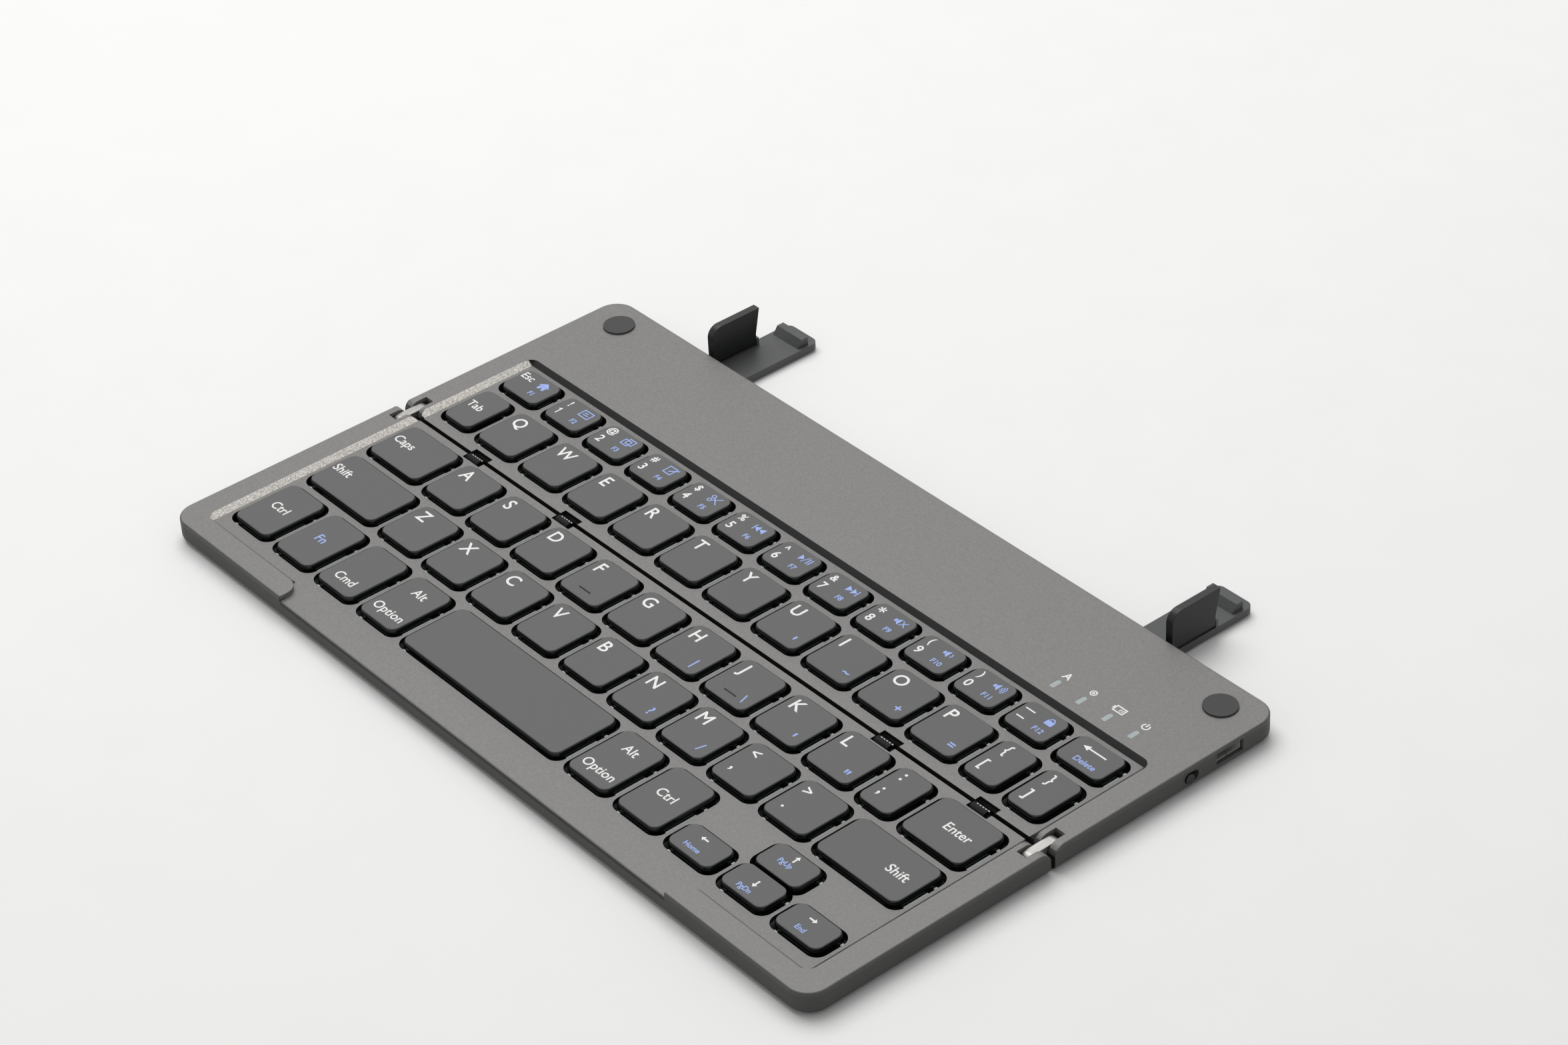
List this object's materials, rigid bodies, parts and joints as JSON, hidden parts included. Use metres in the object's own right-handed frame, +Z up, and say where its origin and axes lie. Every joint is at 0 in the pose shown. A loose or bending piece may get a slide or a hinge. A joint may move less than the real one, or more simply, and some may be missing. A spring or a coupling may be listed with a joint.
{
  "type": "folding keyboard",
  "caption": "Slim portable keyboard that folds in half on a link hinge, keys inward, with swing-out stand arms behind that hold an upright device.",
  "frame": {"origin": "on the rest surface, in the middle of the outer box with the stand arms out", "axes": "+X along the fold to the typist's right, +Y to the rear, +Z up"},
  "size_m": [0.2268, 0.158, 0.0127],
  "materials": {
    "deck_metal": "satin gunmetal coat with fine flake",
    "shell_plastic": "matt dark grey",
    "key_plastic": "satin grey top, black sides",
    "dome_rubber": "matt silicone",
    "board": "solder mask",
    "battery_case": "foil pouch",
    "socket_steel": "plated",
    "black_plastic": "satin black",
    "lens_plastic": "milky",
    "pad_rubber": "matt",
    "hinge_steel": "bright, fine grain",
    "stand_metal": "dark satin paint",
    "foot_rubber": "matt",
    "screw_steel": "dark plated"
  },
  "bodies": {
    "rear_half": {"rear_top_cover": "deck_metal", "rear_bottom_cover": "shell_plastic", "number_row_keys": "key_plastic", "tab_row_keys": "key_plastic", "rear_dome_sheet": "dome_rubber", "circuit_board": "board", "battery": "battery_case", "usb_port": "socket_steel", "indicator_lenses": "lens_plastic", "corner_pads": "pad_rubber", "rear_hinge_pins": "hinge_steel", "stand_arm_pins": "hinge_steel", "rear_feet": "foot_rubber", "rear_screws": "screw_steel"},
    "front_half": {"front_top_cover": "deck_metal", "front_bottom_cover": "shell_plastic", "front_dome_sheet": "dome_rubber", "front_hinge_pins": "hinge_steel", "hinge_barrels": "black_plastic", "front_feet": "foot_rubber"},
    "hinge_link": {"hinge_links": "hinge_steel"},
    "arm_left": {"stand_arm_left": "stand_metal"},
    "arm_right": {"stand_arm_right": "stand_metal"},
    "fin_left": {"stand_fin_left": "stand_metal"},
    "fin_right": {"stand_fin_right": "stand_metal"},
    "power_switch": {"power_switch_knob": "black_plastic"},
    "key_caps_lock": {"key_caps_lock": "key_plastic"},
    "key_a": {"key_a": "key_plastic"},
    "key_s": {"key_s": "key_plastic"},
    "key_d": {"key_d": "key_plastic"},
    "key_f": {"key_f": "key_plastic"},
    "key_g": {"key_g": "key_plastic"},
    "key_h": {"key_h": "key_plastic"},
    "key_j": {"key_j": "key_plastic"},
    "key_k": {"key_k": "key_plastic"},
    "key_l": {"key_l": "key_plastic"},
    "key_semicolon": {"key_semicolon": "key_plastic"},
    "key_enter": {"key_enter": "key_plastic"},
    "key_shift_left": {"key_shift_left": "key_plastic"},
    "key_z": {"key_z": "key_plastic"},
    "key_x": {"key_x": "key_plastic"},
    "key_c": {"key_c": "key_plastic"},
    "key_v": {"key_v": "key_plastic"},
    "key_b": {"key_b": "key_plastic"},
    "key_n": {"key_n": "key_plastic"},
    "key_m": {"key_m": "key_plastic"},
    "key_comma": {"key_comma": "key_plastic"},
    "key_period": {"key_period": "key_plastic"},
    "key_shift_right": {"key_shift_right": "key_plastic"},
    "key_ctrl_left": {"key_ctrl_left": "key_plastic"},
    "key_fn": {"key_fn": "key_plastic"},
    "key_cmd": {"key_cmd": "key_plastic"},
    "key_alt_left": {"key_alt_left": "key_plastic"},
    "key_space": {"key_space": "key_plastic"},
    "key_alt_right": {"key_alt_right": "key_plastic"},
    "key_ctrl_right": {"key_ctrl_right": "key_plastic"},
    "key_left": {"key_left": "key_plastic"},
    "key_up": {"key_up": "key_plastic"},
    "key_down": {"key_down": "key_plastic"},
    "key_right": {"key_right": "key_plastic"}
  },
  "joints": [
    {"name": "fold_rear", "type": "hinge", "parent": "rear_half", "child": "hinge_link", "pos_m": [0, -0.01005, 0.0036], "axis": [-1, 0, 0], "range_deg": [0, 90]},
    {"name": "fold_front", "type": "hinge", "parent": "hinge_link", "child": "front_half", "pos_m": [0, -0.01625, 0.0036], "axis": [-1, 0, 0], "range_deg": [0, 90]},
    {"name": "arm_left_swing", "type": "hinge", "parent": "rear_half", "child": "arm_left", "pos_m": [-0.0739, 0.05055, 0.0025], "axis": [-1, 0, 0], "range_deg": [0, 180]},
    {"name": "arm_right_swing", "type": "hinge", "parent": "rear_half", "child": "arm_right", "pos_m": [0.0739, 0.05055, 0.0025], "axis": [-1, 0, 0], "range_deg": [0, 180]},
    {"name": "fin_left_fold", "type": "hinge", "parent": "arm_left", "child": "fin_left", "pos_m": [-0.0785, 0.0604, 0.00345], "axis": [0, 1, 0], "range_deg": [0, 90]},
    {"name": "fin_right_fold", "type": "hinge", "parent": "arm_right", "child": "fin_right", "pos_m": [0.0785, 0.0604, 0.00345], "axis": [0, -1, 0], "range_deg": [0, 90]},
    {"name": "power_slide", "type": "slide", "parent": "rear_half", "child": "power_switch", "axis": [0, 1, 0], "range_m": [0, 0.0015]},
    {"name": "key_caps_lock_press", "type": "slide", "parent": "front_half", "child": "key_caps_lock", "axis": [0, 0, -1], "range_m": [0, 0.0012], "stiffness_N_per_m": 300, "springref_m": -0.0005},
    {"name": "key_a_press", "type": "slide", "parent": "front_half", "child": "key_a", "axis": [0, 0, -1], "range_m": [0, 0.0012], "stiffness_N_per_m": 300, "springref_m": -0.0005},
    {"name": "key_s_press", "type": "slide", "parent": "front_half", "child": "key_s", "axis": [0, 0, -1], "range_m": [0, 0.0012], "stiffness_N_per_m": 300, "springref_m": -0.0005},
    {"name": "key_d_press", "type": "slide", "parent": "front_half", "child": "key_d", "axis": [0, 0, -1], "range_m": [0, 0.0012], "stiffness_N_per_m": 300, "springref_m": -0.0005},
    {"name": "key_f_press", "type": "slide", "parent": "front_half", "child": "key_f", "axis": [0, 0, -1], "range_m": [0, 0.0012], "stiffness_N_per_m": 300, "springref_m": -0.0005},
    {"name": "key_g_press", "type": "slide", "parent": "front_half", "child": "key_g", "axis": [0, 0, -1], "range_m": [0, 0.0012], "stiffness_N_per_m": 300, "springref_m": -0.0005},
    {"name": "key_h_press", "type": "slide", "parent": "front_half", "child": "key_h", "axis": [0, 0, -1], "range_m": [0, 0.0012], "stiffness_N_per_m": 300, "springref_m": -0.0005},
    {"name": "key_j_press", "type": "slide", "parent": "front_half", "child": "key_j", "axis": [0, 0, -1], "range_m": [0, 0.0012], "stiffness_N_per_m": 300, "springref_m": -0.0005},
    {"name": "key_k_press", "type": "slide", "parent": "front_half", "child": "key_k", "axis": [0, 0, -1], "range_m": [0, 0.0012], "stiffness_N_per_m": 300, "springref_m": -0.0005},
    {"name": "key_l_press", "type": "slide", "parent": "front_half", "child": "key_l", "axis": [0, 0, -1], "range_m": [0, 0.0012], "stiffness_N_per_m": 300, "springref_m": -0.0005},
    {"name": "key_semicolon_press", "type": "slide", "parent": "front_half", "child": "key_semicolon", "axis": [0, 0, -1], "range_m": [0, 0.0012], "stiffness_N_per_m": 300, "springref_m": -0.0005},
    {"name": "key_enter_press", "type": "slide", "parent": "front_half", "child": "key_enter", "axis": [0, 0, -1], "range_m": [0, 0.0012], "stiffness_N_per_m": 300, "springref_m": -0.0005},
    {"name": "key_shift_left_press", "type": "slide", "parent": "front_half", "child": "key_shift_left", "axis": [0, 0, -1], "range_m": [0, 0.0012], "stiffness_N_per_m": 300, "springref_m": -0.0005},
    {"name": "key_z_press", "type": "slide", "parent": "front_half", "child": "key_z", "axis": [0, 0, -1], "range_m": [0, 0.0012], "stiffness_N_per_m": 300, "springref_m": -0.0005},
    {"name": "key_x_press", "type": "slide", "parent": "front_half", "child": "key_x", "axis": [0, 0, -1], "range_m": [0, 0.0012], "stiffness_N_per_m": 300, "springref_m": -0.0005},
    {"name": "key_c_press", "type": "slide", "parent": "front_half", "child": "key_c", "axis": [0, 0, -1], "range_m": [0, 0.0012], "stiffness_N_per_m": 300, "springref_m": -0.0005},
    {"name": "key_v_press", "type": "slide", "parent": "front_half", "child": "key_v", "axis": [0, 0, -1], "range_m": [0, 0.0012], "stiffness_N_per_m": 300, "springref_m": -0.0005},
    {"name": "key_b_press", "type": "slide", "parent": "front_half", "child": "key_b", "axis": [0, 0, -1], "range_m": [0, 0.0012], "stiffness_N_per_m": 300, "springref_m": -0.0005},
    {"name": "key_n_press", "type": "slide", "parent": "front_half", "child": "key_n", "axis": [0, 0, -1], "range_m": [0, 0.0012], "stiffness_N_per_m": 300, "springref_m": -0.0005},
    {"name": "key_m_press", "type": "slide", "parent": "front_half", "child": "key_m", "axis": [0, 0, -1], "range_m": [0, 0.0012], "stiffness_N_per_m": 300, "springref_m": -0.0005},
    {"name": "key_comma_press", "type": "slide", "parent": "front_half", "child": "key_comma", "axis": [0, 0, -1], "range_m": [0, 0.0012], "stiffness_N_per_m": 300, "springref_m": -0.0005},
    {"name": "key_period_press", "type": "slide", "parent": "front_half", "child": "key_period", "axis": [0, 0, -1], "range_m": [0, 0.0012], "stiffness_N_per_m": 300, "springref_m": -0.0005},
    {"name": "key_shift_right_press", "type": "slide", "parent": "front_half", "child": "key_shift_right", "axis": [0, 0, -1], "range_m": [0, 0.0012], "stiffness_N_per_m": 300, "springref_m": -0.0005},
    {"name": "key_ctrl_left_press", "type": "slide", "parent": "front_half", "child": "key_ctrl_left", "axis": [0, 0, -1], "range_m": [0, 0.0012], "stiffness_N_per_m": 300, "springref_m": -0.0005},
    {"name": "key_fn_press", "type": "slide", "parent": "front_half", "child": "key_fn", "axis": [0, 0, -1], "range_m": [0, 0.0012], "stiffness_N_per_m": 300, "springref_m": -0.0005},
    {"name": "key_cmd_press", "type": "slide", "parent": "front_half", "child": "key_cmd", "axis": [0, 0, -1], "range_m": [0, 0.0012], "stiffness_N_per_m": 300, "springref_m": -0.0005},
    {"name": "key_alt_left_press", "type": "slide", "parent": "front_half", "child": "key_alt_left", "axis": [0, 0, -1], "range_m": [0, 0.0012], "stiffness_N_per_m": 300, "springref_m": -0.0005},
    {"name": "key_space_press", "type": "slide", "parent": "front_half", "child": "key_space", "axis": [0, 0, -1], "range_m": [0, 0.0012], "stiffness_N_per_m": 300, "springref_m": -0.0005},
    {"name": "key_alt_right_press", "type": "slide", "parent": "front_half", "child": "key_alt_right", "axis": [0, 0, -1], "range_m": [0, 0.0012], "stiffness_N_per_m": 300, "springref_m": -0.0005},
    {"name": "key_ctrl_right_press", "type": "slide", "parent": "front_half", "child": "key_ctrl_right", "axis": [0, 0, -1], "range_m": [0, 0.0012], "stiffness_N_per_m": 300, "springref_m": -0.0005},
    {"name": "key_left_press", "type": "slide", "parent": "front_half", "child": "key_left", "axis": [0, 0, -1], "range_m": [0, 0.0012], "stiffness_N_per_m": 300, "springref_m": -0.0005},
    {"name": "key_up_press", "type": "slide", "parent": "front_half", "child": "key_up", "axis": [0, 0, -1], "range_m": [0, 0.0012], "stiffness_N_per_m": 300, "springref_m": -0.0005},
    {"name": "key_down_press", "type": "slide", "parent": "front_half", "child": "key_down", "axis": [0, 0, -1], "range_m": [0, 0.0012], "stiffness_N_per_m": 300, "springref_m": -0.0005},
    {"name": "key_right_press", "type": "slide", "parent": "front_half", "child": "key_right", "axis": [0, 0, -1], "range_m": [0, 0.0012], "stiffness_N_per_m": 300, "springref_m": -0.0005}
  ],
  "couplings": [
    {"joint": "fold_front", "follows": "fold_rear", "ratio": 1}
  ]
}
